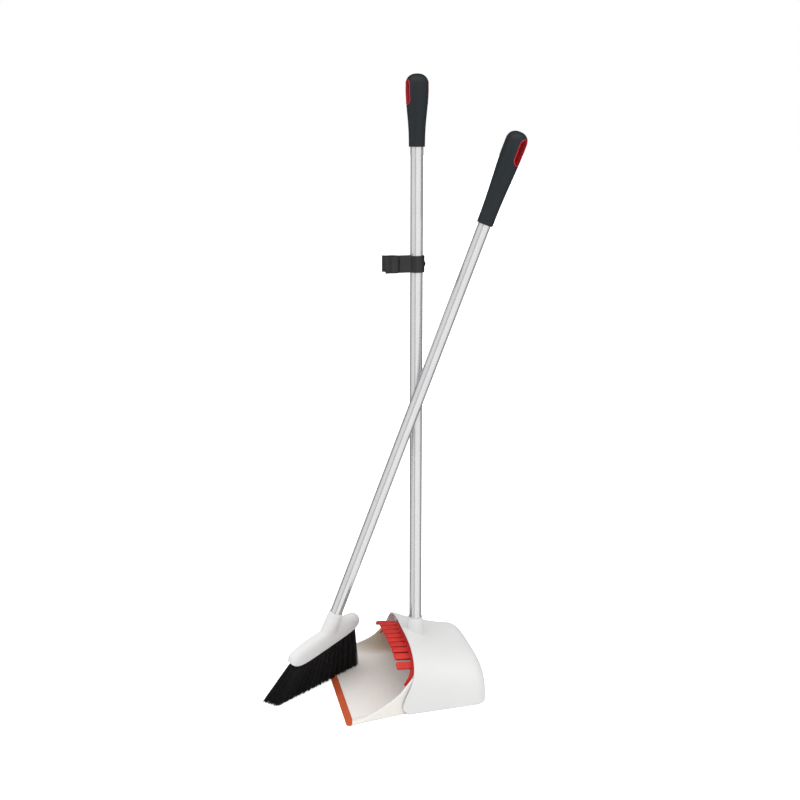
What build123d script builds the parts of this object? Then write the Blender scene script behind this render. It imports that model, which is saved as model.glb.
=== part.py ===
"""Upright dustpan with an arched bin, and the angled broom that leans on it.

Millimetres.  The origin is on the floor under the axis of the dustpan's tube.
+Z is up, -Y is the front, where the lip is, and the hood is symmetric about X = 0.
The broom stands on its bristles in the mouth of the pan and rests against the tube.
"""
import os
from math import asin, atan2, cos, degrees, hypot, pi, radians, sin, sqrt, tan

from build123d import *

# ---------------------------------------------------------------- driving dimensions
# Tubes, shared by both tools
TUBE_D = 19.0
TUBE_WALL = 1.0
FIT = 0.05                 # radial clearance of a part that slides on or into another

# Pan tray and hood
LIP_Y = -134.5             # front edge of the lip
LIP_DEPTH = 11.0
LIP_T = 0.9                # thickness of the lip where it laps over the tray
TRAY_FRONT = LIP_Y + 8.0   # front edge of the tray's floor, under the lip
LIP_HALF_WIDTH = 123.5
STEP_Y = -37.0             # where the hood's side begins
TRAY_STEP_HALF_WIDTH = 105.5
TRAY_BACK_HALF_WIDTH = 98.5
TRAY_BACK_Y = 88.0
TRAY_CORNER_R = 26.0
TRAY_LEAN = 2.5            # degrees that the tray's walls lean inwards
FLOOR_T = 2.5
WALL_T = 2.4
FLOOR_FILLET = 15.0
TRAY_TRIM_Z = 46.0         # above this the walls are trimmed to fit inside the hood
TRAY_INNER_TOP = 18.0      # height of the tray's wall where the hood covers it

ARCH_Y = -21.0             # front of the arch at its crown
ARCH_H = 94.0
HOOD_STEP_HALF_WIDTH = 110.0
HOOD_TAPER = 0.062         # loss of half width per mm towards the back
HOOD_SLOPE = 0.34          # fall of the crown per mm towards the back
HOOD_ROUND_Y = 74.0        # where the back starts to round off
HOOD_BACK_Y = 93.0
ARCH_POWER = 3.5           # how square the arch is: 2 is an ellipse

SOCKET_TOP = 110.6
SOCKET_TOP_D = 24.2
SOCKET_BASE_D = 28.0
SOCKET_BASE = 78.0
SEAT_Z = 60.0              # the tube stands on the seat inside the socket
SEAT_T = 4.0

# Comb under the arch: a rail on a flatter arch of its own, hung from a rib of the hood
TOOTH_COUNT = 11
TOOTH_PITCH = 15.5
TOOTH_W = 12.2
TOOTH_T = 6.0
TOOTH_TIP_Y = -48.5
TOOTH_RISE = 5.5           # degrees that the teeth point up
TOOTH_ROOT_DEPTH = 5.0     # how far each tooth runs back into the rail
RAIL_HALF_WIDTH = 100.0
RAIL_H = 80.0
RAIL_POWER = 3.4
RAIL_T = 4.2
RAIL_FRONT_Y = -22.5
RAIL_BACK_Y = -9.5
RIB_Y = -12.0              # middle of the hood's rib that the rail clips on to
RIB_T = 2.2
RIB_FOOT = 60.0            # the rib ends at this height on each side

# Dustpan handle
GRIP_Z = 846.5
GRIP_TOP = 949.0
TUBE_TOP = 896.0

# Grips: soft moulding over a hard core, with a lined hanging slot that runs along Y
PAN_GRIP = (GRIP_Z, GRIP_TOP, 11.8, 16.7)      # bottom, top, radius at the bottom, at the shoulder
PAN_SLOT = (923.0, 36.0)                       # height of its middle, length
SLOT_W = 19.0
LINER_T = 1.5
LINER_PROUD = 0.35
CORE_R = 10.7

# Clip
CLIP_Z = 664.9
CLIP_H = 24.8
CLIP_R = 12.0
CLIP_WALL = 2.4
CLIP_REACH = 37.0          # from the dustpan's tube to the tube that the clip holds
CLIP_MOUTH_ANGLE = 50.0    # degrees from straight ahead to the end of each arm
CLIP_LIP_Y = -49.8

# Broom, in its own frame: origin on the tube's axis at the floor, Z up the tube,
# X along the head towards its high end, Y through the thickness of the head
FOOT_X = -20.0
FOOT_Y = -172.0
TOUCH_Z = 468.0            # height where the broom's tube passes the dustpan's
TUBE_GAP = 0.4
HEADING = Vector(-0.6, 0.8, 0.0)   # the head's direction on the floor
HEAD_TILT = 24.4           # degrees between the head and square to the tube
HEAD_Z = 76.7              # underside of the head on the tube's axis
HEAD_HALF_L = 66.0
HEAD_BULGE = 8.0
HEAD_H = 27.0
HEAD_HALF_T = 13.0
NECK_TOP = 134.0
NECK_D = 23.0
HEAD_END_POWER = 4.5       # how square the head's ends are
HEAD_END_LIFT = 7.0        # rise of the underside at the very ends
BLOCK_T = 7.0
BLOCK_HALF_T = 9.6
BLOCK_HALF_L = 64.0
SCREW_R = 1.6
CROSS_Z = 120.0            # height of the screw through the neck
CROSS_SEAT_Y = 10.9
BROOM_TUBE_BASE = 100.0
BLOCK_SCREW_X = (-36.6, 36.6)   # midway between two tufts of the middle row
BLOCK_SCREW_DEPTH = 9.0    # how far the screws run on into the head
BROOM_TUBE_TOP = 872.0
BROOM_GRIP = (785.0, 925.0, 12.2, 16.0)
BROOM_SLOT = (897.5, 40.0)

# Bristles
TUFT_ROWS = 3
TUFT_COLUMNS = 14
TUFT_STEM_R = 2.2          # where a tuft sits in its hole
TUFT_ROOT_R = 2.6
TUFT_TIP_R = 3.4
TUFT_LENGTH = 86.0
FAN_LOW = 42.5             # degrees that the bristles lean out at the low end
FAN_HIGH = 1.0
ROW_SPLAY = 3.5            # degrees between neighbouring rows
TUFT_SLIVER = 0.4          # a tip that dips less than this below its level is left whole
TUFT_SINK = 3.5            # the leaning cone starts this far up inside the plate
TUFT_FLOOR_LEVEL = 0.3     # height of the tips that stand on the floor
TUFT_PAN_LEVEL = 3.9       # height of the tips that stand in the pan

OUT = "parts"


# ---------------------------------------------------------------- small helpers
def yz_prism(points, x0, x1):
    """Closed outline of (y, z) points, extruded along X."""
    wire = Polyline(*[(0, y, z) for y, z in points], close=True)
    return extrude(make_face(wire), amount=x1 - x0, dir=(1, 0, 0)).moved(Location((x0, 0, 0)))


def smooth_yz_prism(curve, corners, half_width):
    """Region bounded by a spline through `curve` and straight lines through `corners`."""
    spline = Spline(*[(0, y, z) for y, z in curve])
    ends = [curve[-1]] + corners + [curve[0]]
    lines = Polyline(*[(0, y, z) for y, z in ends])
    face = make_face(Wire([spline] + lines.edges()))
    solid = extrude(face, amount=2 * half_width, dir=(1, 0, 0))
    return solid.moved(Location((-half_width, 0, 0)))


def rod(radius, z0, z1):
    """Round bar on the Z axis."""
    return Cylinder(radius, z1 - z0, align=(Align.CENTER, Align.CENTER, Align.MIN)).moved(
        Location((0, 0, z0)))


def pipe(outer, inner, z0, z1):
    return rod(outer, z0, z1) - rod(inner, z0 - 1, z1 + 1)


def arch_points(half_width, height, power, count=17):
    """(across, up) points of half a superellipse, from one foot over the crown to the other."""
    points = []
    for i in range(count):
        angle = pi * i / (count - 1)
        c, s = cos(angle), max(sin(angle), 0.0)
        across = half_width * abs(c) ** (2 / power) * (1 if c > 0 else -1)
        points.append((across, height * s ** (2 / power)))
    return points


def arch_face(y, half_width, height, foot):
    """Arch at depth y with straight legs that run `foot` below the floor."""
    points = [(x, y, z) for x, z in arch_points(half_width, height, ARCH_POWER)]
    arch = Spline(*points, tangents=[(0, 0, 1), (0, 0, -1)])
    legs = Polyline(points[-1], (-half_width, y, -foot), (half_width, y, -foot), points[0])
    return make_face(Wire([arch] + legs.edges()))


def hood_size(y):
    """Half width and crown height of the hood's outside at depth y."""
    half_width = HOOD_STEP_HALF_WIDTH - HOOD_TAPER * (y - STEP_Y)
    height = ARCH_H - HOOD_SLOPE * (y - ARCH_Y)
    if y > HOOD_ROUND_Y:
        radius = HOOD_BACK_Y - HOOD_ROUND_Y
        drop = radius - sqrt(max(radius ** 2 - (y - HOOD_ROUND_Y) ** 2, 0.0))
        half_width -= drop
        height -= drop
    return half_width, height


def hood_block(inset):
    """The hood's outer form, or the same form drawn in by a wall thickness."""
    foot = 3.0 + 2 * inset
    back = HOOD_BACK_Y - HOOD_ROUND_Y
    closer = (back - inset) / back

    def section(y, at):
        half_width, height = hood_size(y)
        return arch_face(at, half_width - inset, height - inset, foot)

    front = loft([section(-52.0, -52.0 - inset), section(HOOD_ROUND_Y, HOOD_ROUND_Y)], ruled=True)
    turns = [sin(radians(angle)) for angle in (0, 20, 40, 60, 80)]
    rear = loft([section(HOOD_ROUND_Y + back * t, HOOD_ROUND_Y + back * closer * t) for t in turns])
    return front + rear


# ---------------------------------------------------------------- dustpan
def tray_outline(inset, front_y):
    """Plan of the tray, drawn in by `inset` and cut off at front_y."""
    flare = (LIP_HALF_WIDTH - TRAY_STEP_HALF_WIDTH) / (STEP_Y - LIP_Y)
    front = TRAY_STEP_HALF_WIDTH + flare * (STEP_Y - front_y) - inset
    step = TRAY_STEP_HALF_WIDTH - inset
    back = TRAY_BACK_HALF_WIDTH - inset
    back_y = TRAY_BACK_Y - inset
    side = [(front, front_y), (step, STEP_Y), (back, back_y)]
    points = side + [(-x, y) for x, y in reversed(side)]
    face = make_face(Polyline(*points, close=True))
    corners = [v for v in face.vertices() if v.Y > back_y - 1]
    return fillet(corners, max(TRAY_CORNER_R - inset, 5.0))


def tray_block(inset, front_y, levels):
    """Solid through the tray's outline at each level: it leans in, and has a rounded foot if inset."""
    faces = []
    for z in levels:
        rise = z - levels[0]
        lean = rise * tan(radians(TRAY_LEAN))
        foot = 0.0
        if inset and rise < FLOOR_FILLET:
            foot = FLOOR_FILLET - sqrt(FLOOR_FILLET ** 2 - (FLOOR_FILLET - rise) ** 2)
        faces.append(tray_outline(inset + lean + foot, front_y).moved(Location((0, 0, z))))
    return loft(faces)


def rim_curve():
    """Top edge of the tray's side wall in side view, from the lip up to the arch."""
    return [(TRAY_FRONT - 1, 2.8), (-106, 6), (-78, 18), (-50, 33), (-36, 47), (-27, 58)]


def build_tray():
    outer = tray_block(0, TRAY_FRONT, [0, 70])
    levels = [FLOOR_FILLET * (1 - cos(radians(a))) for a in (0, 15, 32, 50, 70, 90)]
    inner = tray_block(WALL_T, LIP_Y - 20, [FLOOR_T + z for z in levels] + [FLOOR_T + 70])
    tray = outer - inner
    above = smooth_yz_prism(
        rim_curve(),
        [(-24, 60), (8, TRAY_INNER_TOP), (150, TRAY_INNER_TOP), (150, 90), (-150, 90), (-150, 2.8)],
        150)
    in_hood = hood_block(WALL_T + 2 * FIT)
    top_zone = Box(400, 400, 60, align=(Align.CENTER, Align.CENTER, Align.MIN))
    top_zone = top_zone.moved(Location((0, 0, TRAY_TRIM_Z)))
    return tray - above - (top_zone - in_hood)


def seam_curve():
    """Front edge of the hood in side view, from the floor up to the crown."""
    return [(-36.5, 0), (-44.5, 11), (-40.5, 26), (-32.5, 42), (-26.5, 58), (-23, 77), (ARCH_Y, 110)]


def build_hood():
    shell = hood_block(0) - hood_block(WALL_T)
    below = Box(400, 400, 40).moved(Location((0, 0, -20)))
    front = smooth_yz_prism(seam_curve(), [(ARCH_Y, 150), (-160, 150), (-160, 0)], 150)
    shell = shell - below - front
    rib = hood_block(1.0) & Box(400, RIB_T, 120, align=(Align.CENTER, Align.CENTER, Align.MIN)).moved(
        Location((0, RIB_Y, RIB_FOOT)))
    rib = rib - rail_prism(FIT, RIB_Y - 10, RIB_Y + 10)
    collar = loft([
        Circle(SOCKET_BASE_D / 2).face().moved(Location((0, 0, SOCKET_BASE))),
        Circle(SOCKET_TOP_D / 2).face().moved(Location((0, 0, SOCKET_TOP))),
    ])
    seat = rod(SOCKET_BASE_D / 2 - 0.6, SEAT_Z - SEAT_T, SOCKET_BASE + 1)
    bore = rod(TUBE_D / 2 + FIT, SEAT_Z, SOCKET_TOP + 1)
    screw_hole = rod(2.2, SEAT_Z - SEAT_T - 1, SEAT_Z + 1)
    return shell + rib + collar + seat - bore - screw_hole


def build_lip():
    """Soft edge: a thin wedge that laps over the front of the tray's floor."""
    butt = TRAY_FRONT - FIT
    lap = LIP_Y + LIP_DEPTH
    under = FLOOR_T + FIT
    over = under + LIP_T
    section = [(LIP_Y, 0), (butt, 0), (butt, under), (lap, under), (lap - 0.5, over), (TRAY_FRONT - 1, over),
               (LIP_Y + 0.7, 1.1), (LIP_Y, 0.5)]
    wedge = yz_prism(section, -LIP_HALF_WIDTH, LIP_HALF_WIDTH)
    full_width = extrude(tray_outline(0, LIP_Y), amount=20)
    corners = [e for e in full_width.edges().filter_by(Axis.Z) if e.center().Y < LIP_Y + 1]
    full_width = fillet(corners, 6.0) & Box(400, 60, 60).moved(Location((0, butt - 30, 0)))
    between_feet = extrude(tray_outline(WALL_T + FLOOR_FILLET + 1, LIP_Y), amount=20)
    return wedge & (full_width + between_feet)


def rail_prism(grow, y0, y1):
    """Prism of the rail's own arch, grown outwards by `grow`, between two depths."""
    return extrude(rail_face(y1, grow), amount=y1 - y0, dir=(0, -1, 0))


def rail_face(y, grow):
    points = arch_points(RAIL_HALF_WIDTH + grow, RAIL_H + grow, RAIL_POWER)
    points = [(x, y, z) for x, z in points]
    arch = Spline(*points, tangents=[(0, 0, 1), (0, 0, -1)])
    return make_face(Wire([arch, Line(points[-1], points[0])]))


def rail_height(x):
    """Height of the rail's outer curve at x."""
    return RAIL_H * (1 - (abs(x) / RAIL_HALF_WIDTH) ** RAIL_POWER) ** (1 / RAIL_POWER)


def build_tooth():
    """One bar tooth with a rounded tip; its root is at the origin and it points along -Y."""
    length = RAIL_FRONT_Y + TOOTH_ROOT_DEPTH - TOOTH_TIP_Y
    bar = Box(TOOTH_W, length, TOOTH_T, align=(Align.CENTER, Align.MAX, Align.CENTER))
    bar = fillet(bar.edges().filter_by(Axis.Y), 2.3)
    return fillet(bar.faces().sort_by(Axis.Y)[0].edges(), 1.8)


def build_comb():
    """Channel that clips on the hood's rib, with bar teeth in front and a tail down each side."""
    deep = rail_prism(0, RAIL_FRONT_Y - 20, RAIL_BACK_Y)
    deep = deep - rail_prism(-RAIL_T, RAIL_FRONT_Y - 21, RAIL_BACK_Y + 1)
    front = [(-39.5, 42), (-33, 50), (-28, 57.5), (-24.5, 66), (RAIL_FRONT_Y, 76), (RAIL_FRONT_Y, 110)]
    back = [(RAIL_BACK_Y, 110), (RAIL_BACK_Y, 74), (-15, 66), (-23.5, 56), (-30.5, 48), (-37, 42)]
    comb = deep & smooth_yz_prism(front, back, 150)
    for side in (-1, 1):
        y = RIB_Y + side * (RIB_T / 2 + 0.65 + FIT)
        lip = rail_prism(2.2, y - 0.65, y + 0.65) - rail_prism(-1, y - 1, y + 1)
        comb = comb + (lip - Box(400, 400, 70, align=(Align.CENTER, Align.CENTER, Align.MIN)))
    tooth = build_tooth()
    for i in range(TOOTH_COUNT):
        x = (i - (TOOTH_COUNT - 1) / 2) * TOOTH_PITCH
        roll = atan2(rail_height(x - 1) - rail_height(x + 1), 2)
        place = Location((x, RAIL_FRONT_Y + TOOTH_ROOT_DEPTH, rail_height(x) - TOOTH_T / 2))
        comb = comb + tooth.moved(place * Rot(0, degrees(roll), 0) * Rot(-TOOTH_RISE, 0, 0))
    boss = rod(SOCKET_BASE_D / 2, SEAT_Z - 10, SOCKET_TOP)
    return comb - boss


def build_tube(z0, z1):
    return pipe(TUBE_D / 2, TUBE_D / 2 - TUBE_WALL, z0, z1)


def build_plug(z0):
    """Moulded plug in the tube's lower end that takes the screw."""
    body = rod(TUBE_D / 2 - TUBE_WALL - FIT, z0, z0 + 30)
    body = chamfer(body.edges().sort_by(Axis.Z)[-1], 1.0)
    return body - rod(2.0, z0 - 1, z0 + 24)


def build_screw(seat, z0):
    """Pan-head screw driven upwards: seat is the face its head bears on."""
    head = rod(4.2, seat - 2.8, seat)
    head = fillet(head.edges().sort_by(Axis.Z)[0], 1.6)
    recess = (Box(5.0, 1.1, 1.8) + Box(1.1, 5.0, 1.8)).moved(Location((0, 0, seat - 2.6)))
    return head + rod(1.95, seat - 0.5, z0 + 20) - recess


# ---------------------------------------------------------------- grips
def grip_profile(length, bottom_r, top_r):
    """Half section of a grip: (radius, height) points of its side, bottom to shoulder."""
    shape = [(0.0, 0.0), (0.16, 0.05), (0.32, 0.24), (0.48, 0.55), (0.64, 0.87), (0.76, 1.0)]
    side = [(bottom_r + (top_r - bottom_r) * grow, length * along) for along, grow in shape]
    return side


def grip_form(z0, z1, bottom_r, top_r, grow=0.0):
    """Solid of revolution: a club that swells upwards and ends in a flattened dome."""
    length = z1 - z0
    side = grip_profile(length, bottom_r, top_r)
    side = [(r + grow, z0 + z) for r, z in side]
    top = (0, z1 + grow)
    shoulder = (top_r * 0.93 + grow, z1 - top_r * 0.60)
    rim = (top_r * 0.66 + grow, z1 - top_r * 0.14)
    flank = Spline(*[(r, 0, z) for r, z in side + [shoulder, rim]], (0, 0, top[1]),
                   tangents=[(0, 0, 1), (-1, 0, 0)])
    base = Line((0, 0, side[0][1]), (side[0][0], 0, side[0][1]))
    axis = Line((0, 0, top[1]), (0, 0, side[0][1]))
    return revolve(make_face(Wire([base, flank, axis])), Axis.Z)


def slot_prism(width, height, z, depth=60):
    """Upright slot with round ends that runs through along Y."""
    sketch = Plane.XZ * Pos(0, z) * SlotOverall(height, width, rotation=90)
    return extrude(sketch, amount=depth / 2, both=True)


def build_grip(z0, z1, bottom_r, top_r, slot_z, slot_h, tube_end):
    form = grip_form(z0, z1, bottom_r, top_r)
    core_space = rod(TUBE_D / 2 + FIT, z0 - 1, z0 + 5) + rod(CORE_R + FIT, z0 + 4.9, tube_end + 3 + FIT)
    return form - core_space - slot_prism(SLOT_W, slot_h, slot_z)


def build_core(z0, tube_end):
    """Hard sleeve moulded inside the grip: the tube is pressed into it."""
    return rod(CORE_R, z0 + 5, tube_end + 3) - rod(TUBE_D / 2 + FIT, z0 + 4, tube_end + FIT)


def build_liner(z0, z1, bottom_r, top_r, slot_z, slot_h):
    """Bright sleeve that lines the hanging slot, flush with the grip."""
    outer = slot_prism(SLOT_W - 2 * FIT, slot_h - 2 * FIT, slot_z)
    inner = slot_prism(SLOT_W - 2 * LINER_T, slot_h - 2 * LINER_T, slot_z)
    return (outer - inner) & grip_form(z0, z1, bottom_r, top_r, grow=LINER_PROUD)


# ---------------------------------------------------------------- clip
def build_clip():
    """Ring on the dustpan's tube and an open C in front of it, in one moulding."""
    outer_r = TUBE_D / 2 + CLIP_WALL + 0.3
    ring = Circle(CLIP_R)
    hook = Pos(0, -CLIP_REACH) * Circle(outer_r)
    web = Pos(0, -CLIP_REACH / 2) * Rectangle(14.0, CLIP_REACH - 10)
    mouth_half = TUBE_D / 2 * sin(radians(CLIP_MOUTH_ANGLE))
    mouth_y = -CLIP_REACH - TUBE_D / 2 * cos(radians(CLIP_MOUTH_ANGLE))
    body = ring + hook + web
    body -= Pos(0, -CLIP_REACH) * Circle(TUBE_D / 2)
    notch = [(-mouth_half, mouth_y), (mouth_half, mouth_y), (mouth_half + 12, mouth_y - 14),
             (-mouth_half - 12, mouth_y - 14)]
    body -= make_face(Polyline(*notch, close=True))
    for side in (1, -1):
        lip = [(side * mouth_half, mouth_y), (side * (mouth_half + 4.0), CLIP_LIP_Y),
               (side * (mouth_half + 6.6), CLIP_LIP_Y), (side * (mouth_half + 2.9), mouth_y + 1.2)]
        body += make_face(Polyline(*lip, close=True))
    body -= Circle(TUBE_D / 2 + FIT)
    clip = extrude(body, amount=CLIP_H).moved(Location((0, 0, CLIP_Z)))
    clip = fillet(clip.edges().group_by(Axis.Z)[-1] + clip.edges().group_by(Axis.Z)[0], 0.5)
    hole = Cylinder(1.8, 10, rotation=(90, 0, 0)).moved(Location((0, CLIP_R, CLIP_Z + CLIP_H / 2)))
    return clip - hole


def build_clip_screw():
    """Domed screw in the back of the clip: its tip bears on the tube."""
    dome_r = 4.2
    dome_h = 1.9
    sphere_r = (dome_r ** 2 + dome_h ** 2) / (2 * dome_h)
    dome = Sphere(sphere_r).moved(Location((0, 0, dome_h - sphere_r)))
    dome = dome & rod(dome_r, 0, dome_h + 1)
    recess = (Box(4.0, 0.9, 1.4) + Box(0.9, 4.0, 1.4)).moved(Location((0, 0, dome_h)))
    shank = rod(1.75, TUBE_D / 2 + 2 * FIT - CLIP_R, 0)
    return (dome - recess + shank).moved(Location((0, CLIP_R, CLIP_Z + CLIP_H / 2), (-90, 0, 0)))


# ---------------------------------------------------------------- broom
def broom_plane():
    """The broom's frame: it leans so that its tube just clears the dustpan's."""
    reach = hypot(FOOT_X, FOOT_Y)
    clear = TUBE_D + TUBE_GAP
    run = sqrt(reach ** 2 - clear ** 2)
    heading = atan2(-FOOT_Y, -FOOT_X) - asin(clear / reach)
    up = Vector(run * cos(heading), run * sin(heading), TOUCH_Z).normalized()
    across = (HEADING - up * HEADING.dot(up)).normalized()
    return Plane(origin=(FOOT_X, FOOT_Y, 0), x_dir=across, z_dir=up)


def head_location():
    """From the head's frame (X along the head, Z square to it) to the broom's frame."""
    return Location((0, 0, HEAD_Z), (0, -HEAD_TILT, 0))


def head_section(x):
    """Flat-bottomed arch across the head at x; it draws in towards both ends."""
    half_length = HEAD_HALF_L + HEAD_BULGE
    share = (1 - abs(x / half_length) ** HEAD_END_POWER) ** (1 / HEAD_END_POWER)
    lift = HEAD_END_LIFT * abs(x / half_length) ** 8
    points = arch_points(HEAD_HALF_T * share, HEAD_H * share - lift, 2.6, 11)
    points = [(x, y, z + lift) for y, z in points]
    arch = Spline(*points, tangents=[(0, 0, 1), (0, 0, -1)])
    return make_face(Wire([arch, Line(points[-1], points[0])]))


def neck():
    """Neck that grows out of the bar and tapers to the tube."""
    foot = Pos(7, 0, HEAD_Z + 12) * Rot(0, -HEAD_TILT, 0) * Ellipse(27, HEAD_HALF_T - 2.5)
    waist = Pos(-1, 0, HEAD_Z + 31) * Rot(0, -10, 0) * Ellipse(14, 12)
    return loft([foot.face(), waist.face(), (Pos(0, 0, NECK_TOP) * Circle(NECK_D / 2)).face()])


def build_head():
    """Moulded head: a rounded bar with a tapered neck that holds the tube."""
    half_length = HEAD_HALF_L + HEAD_BULGE
    turns = [sin(radians(angle)) for angle in (-84, -70, -54, -36, -18, 0, 18, 36, 54, 70, 84)]
    bar = loft([head_section(half_length * t) for t in turns])
    pocket = Box(2 * BLOCK_HALF_L + 2 * FIT, 2 * (BLOCK_HALF_T + FIT), 2 * BLOCK_T)
    pocket = fillet(pocket.edges().filter_by(Axis.Z), 7.0)
    head = (bar.moved(head_location()) + neck()) - pocket.moved(head_location())
    for x in BLOCK_SCREW_X:
        hole = rod(SCREW_R + FIT, 0, BLOCK_T + BLOCK_SCREW_DEPTH + 2.0)
        head = head - hole.moved(head_location() * Location((x, 0, 0)))
    bore = rod(TUBE_D / 2 + FIT, BROOM_TUBE_BASE, NECK_TOP + 1)
    spotface = Cylinder(4.0, 10, rotation=(90, 0, 0)).moved(Location((0, CROSS_SEAT_Y + 5, CROSS_Z)))
    return head - bore - cross_hole() - spotface


def cross_hole():
    """Hole from the back of the neck, through one wall of the tube, into the plug."""
    return Cylinder(SCREW_R + FIT, 20, rotation=(90, 0, 0)).moved(Location((0, 12, CROSS_Z)))


def build_cross_screw():
    """Domed screw that holds the broom's tube in the neck."""
    head = rod(3.6, 0, 2.0)
    head = fillet(head.edges().sort_by(Axis.Z)[-1], 1.2)
    recess = (Box(4.0, 0.9, 1.6) + Box(0.9, 4.0, 1.6)).moved(Location((0, 0, 2.0)))
    screw = head - recess + rod(SCREW_R, -8, 0)
    return screw.moved(Location((0, CROSS_SEAT_Y, CROSS_Z), (-90, 0, 0)))


def build_block():
    """Plate that holds the tufts: it is let into the underside of the head."""
    plate = Box(2 * BLOCK_HALF_L, 2 * BLOCK_HALF_T, BLOCK_T - FIT,
                align=(Align.CENTER, Align.CENTER, Align.MIN))
    plate = fillet(plate.edges().filter_by(Axis.Z), 6.9)
    for row in range(TUFT_ROWS):
        for column in range(TUFT_COLUMNS):
            x, y, _, _ = tuft_place(row, column)
            plate = plate - Cylinder(TUFT_STEM_R + FIT, 8).moved(Location((x, y, 0)))
    for x in BLOCK_SCREW_X:
        plate = plate - rod(SCREW_R + FIT, -1, BLOCK_T + 1).moved(Location((x, 0, 0)))
    return plate.moved(head_location())


def tuft_place(row, column):
    """Root position in the head's frame and the two angles a tuft leans by."""
    share = column / (TUFT_COLUMNS - 1)
    x = (share - 0.5) * 2 * (BLOCK_HALF_L - 4.5)
    y = (row - (TUFT_ROWS - 1) / 2) * 6.2
    fan = FAN_LOW + (FAN_HIGH - FAN_LOW) * share
    splay = (row - (TUFT_ROWS - 1) / 2) * ROW_SPLAY
    return x, y, fan, splay


def build_tufts(row, plane):
    """One row of tufts, each cut off level with the floor it stands on."""
    tufts = []
    below = Box(900, 900, 300, align=(Align.CENTER, Align.CENTER, Align.MAX))
    above = Box(30, 30, 20, align=(Align.CENTER, Align.CENTER, Align.MIN)).moved(Location((0, 0, -2 * FIT)))
    for column in range(TUFT_COLUMNS):
        x, y, fan, splay = tuft_place(row, column)
        lean = Location((0, 0, 0), (splay, fan, 0))
        length = TUFT_LENGTH + TUFT_SINK
        cone = Cone(TUFT_TIP_R, TUFT_ROOT_R, length, align=(Align.CENTER, Align.CENTER, Align.MAX))
        hanging = cone.moved(lean * Location((0, 0, TUFT_SINK))) - above
        place = plane.location * head_location() * Location((x, y, 0))
        tuft = (hanging + rod(TUFT_STEM_R, -1.0, 3.8)).moved(place)
        tip = (place * lean * Location((0, 0, -TUFT_LENGTH))).position
        in_pan = tip.Y > LIP_Y - TUFT_TIP_R - 2.0
        level = TUFT_PAN_LEVEL if in_pan else TUFT_FLOOR_LEVEL
        if tuft.bounding_box().min.Z < level - TUFT_SLIVER:
            tuft = tuft - below.moved(Location((0, 0, level)))
        tufts.append(tuft)
    return Compound(children=[t.solids()[0] for t in tufts])


def build_block_screws():
    screws = []
    for x in BLOCK_SCREW_X:
        screw = rod(SCREW_R, 0.2, BLOCK_T + BLOCK_SCREW_DEPTH)
        screws.append(screw.moved(head_location() * Location((x, 0, 0))))
    return Compound(children=[screw.solids()[0] for screw in screws])


# ---------------------------------------------------------------- assembly
def node_makers():
    """The function that makes each node, by the node's name."""
    plane = broom_plane()
    in_pan_frame = {
        "pan_tray": build_tray,
        "bin_hood": build_hood,
        "lip_strip": build_lip,
        "bristle_comb": build_comb,
        "pan_tube": lambda: build_tube(SEAT_Z, TUBE_TOP),
        "pan_tube_plug": lambda: build_plug(SEAT_Z),
        "pan_tube_screw": lambda: build_screw(SEAT_Z - SEAT_T, SEAT_Z),
        "pan_grip_core": lambda: build_core(GRIP_Z, TUBE_TOP),
        "pan_grip": lambda: build_grip(*PAN_GRIP, *PAN_SLOT, TUBE_TOP),
        "pan_hang_liner": lambda: build_liner(*PAN_GRIP, *PAN_SLOT),
        "storage_clip": build_clip,
        "clip_screw": build_clip_screw,
    }
    in_broom_frame = {
        "broom_head": build_head,
        "bristle_block": build_block,
        "block_screws": build_block_screws,
        "broom_tube": lambda: build_tube(BROOM_TUBE_BASE, BROOM_TUBE_TOP) - cross_hole(),
        "broom_tube_plug": lambda: build_plug(BROOM_TUBE_BASE) - cross_hole(),
        "broom_tube_screw": build_cross_screw,
        "broom_grip_core": lambda: build_core(BROOM_GRIP[0], BROOM_TUBE_TOP),
        "broom_grip": lambda: build_grip(*BROOM_GRIP, *BROOM_SLOT, BROOM_TUBE_TOP),
        "broom_hang_liner": lambda: build_liner(*BROOM_GRIP, *BROOM_SLOT),
    }
    makers = dict(in_pan_frame)
    for name, make in in_broom_frame.items():
        makers[name] = lambda make=make: plane.location * make()
    for row, name in enumerate(("bristles_back", "bristles_middle", "bristles_front")):
        makers[name] = lambda row=row: build_tufts(row, plane)
    return makers


def main():
    os.makedirs(OUT, exist_ok=True)
    for name, make in node_makers().items():
        export_step(make(), f"{OUT}/{name}.step")


main()
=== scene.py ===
"""Looks for an upright dustpan with an arched bin and the angled broom that leans on it.

Lengths are in millimetres in the tables and functions below, and become metres when a
mesh is made.  The frame is the CAD model's: +Z up, -Y the pan's lip, origin on the floor
under the axis of the dustpan's tube.
"""

import random
from math import asin, atan2, cos, hypot, pi, radians, sin, sqrt, tan

import bmesh
import bpy
from mathutils import Matrix, Vector


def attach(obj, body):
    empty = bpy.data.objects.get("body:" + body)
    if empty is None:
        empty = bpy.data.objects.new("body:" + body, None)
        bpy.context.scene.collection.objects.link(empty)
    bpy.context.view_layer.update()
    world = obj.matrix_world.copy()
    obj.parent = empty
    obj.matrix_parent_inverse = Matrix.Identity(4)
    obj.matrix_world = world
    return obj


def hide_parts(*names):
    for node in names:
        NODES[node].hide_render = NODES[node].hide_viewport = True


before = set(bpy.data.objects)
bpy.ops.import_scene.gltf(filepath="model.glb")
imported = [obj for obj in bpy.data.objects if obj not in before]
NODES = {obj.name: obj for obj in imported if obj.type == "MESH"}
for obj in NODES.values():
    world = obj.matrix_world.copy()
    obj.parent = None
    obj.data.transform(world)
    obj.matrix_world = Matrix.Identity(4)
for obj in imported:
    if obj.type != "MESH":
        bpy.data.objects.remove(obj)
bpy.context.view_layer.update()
MM = 0.001
random.seed(7)

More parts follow.
